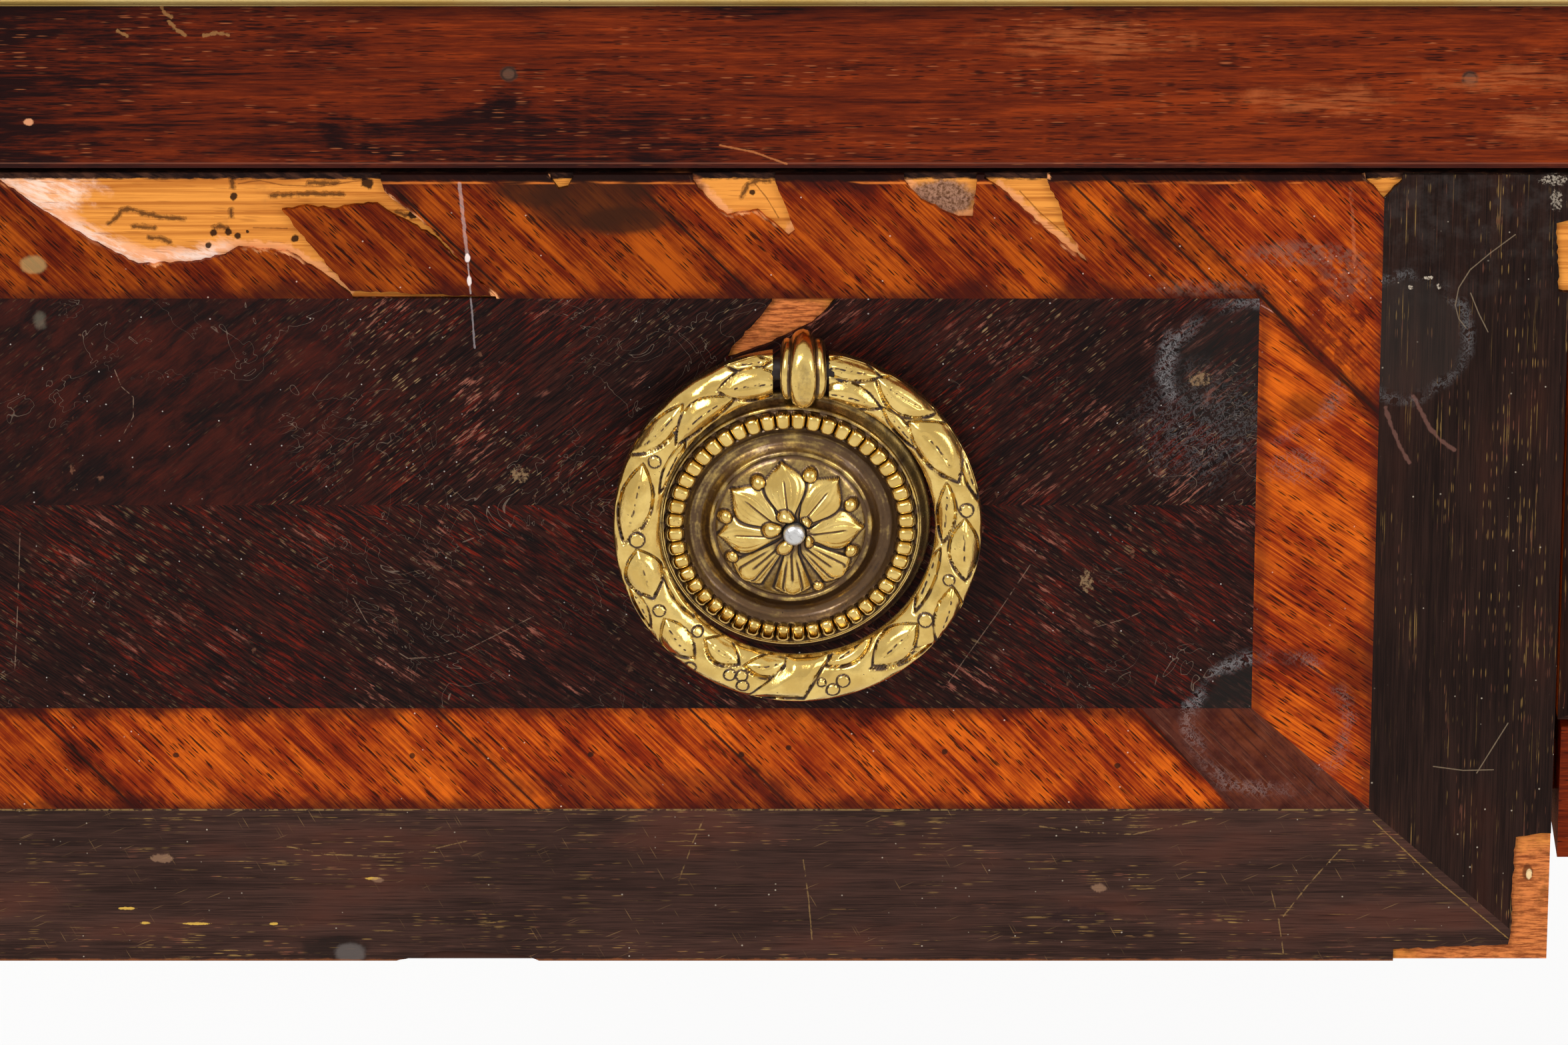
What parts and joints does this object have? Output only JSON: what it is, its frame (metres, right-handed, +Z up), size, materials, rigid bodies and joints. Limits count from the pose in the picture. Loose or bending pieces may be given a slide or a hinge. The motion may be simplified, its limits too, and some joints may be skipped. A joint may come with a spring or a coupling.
{
  "type": "writing desk",
  "caption": "Flat-topped kneehole writing desk with a leather top, brass rim, banded dark veneer, tapered legs and drawers on laurel ring pulls.",
  "frame": {"origin": "on the floor under the middle of the desk", "axes": "+X to the right as seen from the front, the drawer fronts face -Y, +Z up"},
  "size_m": [1.608, 0.818, 0.77],
  "materials": {
    "dark_veneer": "worn shellac over near-black kingwood with red and gold streaks",
    "tulipwood_banding": "worn shellac over diagonal orange-brown tulipwood",
    "case_veneer": "worn shellac over dark brown kingwood",
    "rosewood": "satin shellac over red-brown rosewood with black pores",
    "pine": "bare aged softwood",
    "oak": "bare oak, dry and dusty",
    "leather": "waxed dark green leather with a gilt line",
    "steel": "dull iron",
    "gilt_brass": "aged gilt brass, bright on the high parts and dark in the hollows"
  },
  "bodies": {
    "desk": {"top_core": "pine", "leather_panel": "leather", "top_border_veneer": "case_veneer", "edge_band": "rosewood", "brass_rim": "gilt_brass", "leg_front_left": "case_veneer", "leg_front_right": "case_veneer", "leg_back_left": "case_veneer", "leg_back_right": "case_veneer", "leg_collars": "gilt_brass", "brass_shoes": "gilt_brass", "end_panel_left": "case_veneer", "end_panel_right": "case_veneer", "back_panel": "case_veneer", "front_top_rail": "oak", "kneehole_rail": "rosewood", "side_bottom_rails": "oak", "inner_side_left": "oak", "inner_side_right": "oak", "runners": "oak", "kickers": "oak", "top_screws": "steel"},
    "left_drawer": {"left_drawer_front": "pine", "left_drawer_banding": "tulipwood_banding", "left_drawer_veneer": "dark_veneer", "left_drawer_sides": "oak", "left_drawer_back": "oak", "left_drawer_bottom": "oak", "left_rosettes": "gilt_brass", "left_knuckles": "gilt_brass", "left_pull_bolts": "steel"},
    "centre_drawer": {"centre_drawer_front": "pine", "centre_drawer_banding": "tulipwood_banding", "centre_drawer_veneer": "dark_veneer", "centre_drawer_sides": "oak", "centre_drawer_back": "oak", "centre_drawer_bottom": "oak", "centre_rosettes": "gilt_brass", "centre_knuckles": "gilt_brass", "centre_pull_bolts": "steel", "lock_case": "gilt_brass", "keyhole_plate": "gilt_brass"},
    "right_drawer": {"right_drawer_front": "pine", "right_drawer_banding": "tulipwood_banding", "right_drawer_veneer": "dark_veneer", "right_drawer_sides": "oak", "right_drawer_back": "oak", "right_drawer_bottom": "oak", "right_rosettes": "gilt_brass", "right_knuckles": "gilt_brass", "right_pull_bolts": "steel"},
    "left_outer_pull": {"left_ring_outer": "gilt_brass"},
    "left_inner_pull": {"left_ring_inner": "gilt_brass"},
    "centre_left_pull": {"centre_ring_left": "gilt_brass"},
    "centre_right_pull": {"centre_ring_right": "gilt_brass"},
    "right_inner_pull": {"right_ring_inner": "gilt_brass"},
    "right_outer_pull": {"right_ring_outer": "gilt_brass"},
    "key": {"key": "steel"},
    "bolt": {"lock_bolt": "steel"}
  },
  "joints": [
    {"name": "left_drawer_slide", "type": "slide", "parent": "desk", "child": "left_drawer", "axis": [0, -1, 0], "range_m": [0, 0.5]},
    {"name": "centre_drawer_slide", "type": "slide", "parent": "desk", "child": "centre_drawer", "axis": [0, -1, 0], "range_m": [0, 0.48]},
    {"name": "right_drawer_slide", "type": "slide", "parent": "desk", "child": "right_drawer", "axis": [0, -1, 0], "range_m": [0, 0.5]},
    {"name": "left_outer_pull_swing", "type": "hinge", "parent": "left_drawer", "child": "left_outer_pull", "pos_m": [-0.6009, -0.40049, 0.6943], "axis": [-1, 0, 0], "range_deg": [0, 130]},
    {"name": "left_inner_pull_swing", "type": "hinge", "parent": "left_drawer", "child": "left_inner_pull", "pos_m": [-0.4043, -0.40049, 0.6943], "axis": [-1, 0, 0], "range_deg": [0, 130]},
    {"name": "centre_left_pull_swing", "type": "hinge", "parent": "centre_drawer", "child": "centre_left_pull", "pos_m": [-0.1294, -0.38849, 0.7005], "axis": [-1, 0, 0], "range_deg": [0, 130]},
    {"name": "centre_right_pull_swing", "type": "hinge", "parent": "centre_drawer", "child": "centre_right_pull", "pos_m": [0.1294, -0.38849, 0.7005], "axis": [-1, 0, 0], "range_deg": [0, 130]},
    {"name": "right_inner_pull_swing", "type": "hinge", "parent": "right_drawer", "child": "right_inner_pull", "pos_m": [0.4043, -0.40049, 0.6943], "axis": [-1, 0, 0], "range_deg": [0, 130]},
    {"name": "right_outer_pull_swing", "type": "hinge", "parent": "right_drawer", "child": "right_outer_pull", "pos_m": [0.6009, -0.40049, 0.6943], "axis": [-1, 0, 0], "range_deg": [0, 130]},
    {"name": "key_turn", "type": "hinge", "parent": "centre_drawer", "child": "key", "pos_m": [0, -0.38249, 0.70182], "axis": [0, 1, 0], "range_deg": [0, 180]},
    {"name": "bolt_throw", "type": "slide", "parent": "centre_drawer", "child": "bolt", "axis": [0, 0, 1], "range_m": [0, 0.0065]}
  ],
  "couplings": [
    {"joint": "bolt_throw", "follows": "key_turn", "m_per_rad": 0.002069}
  ]
}
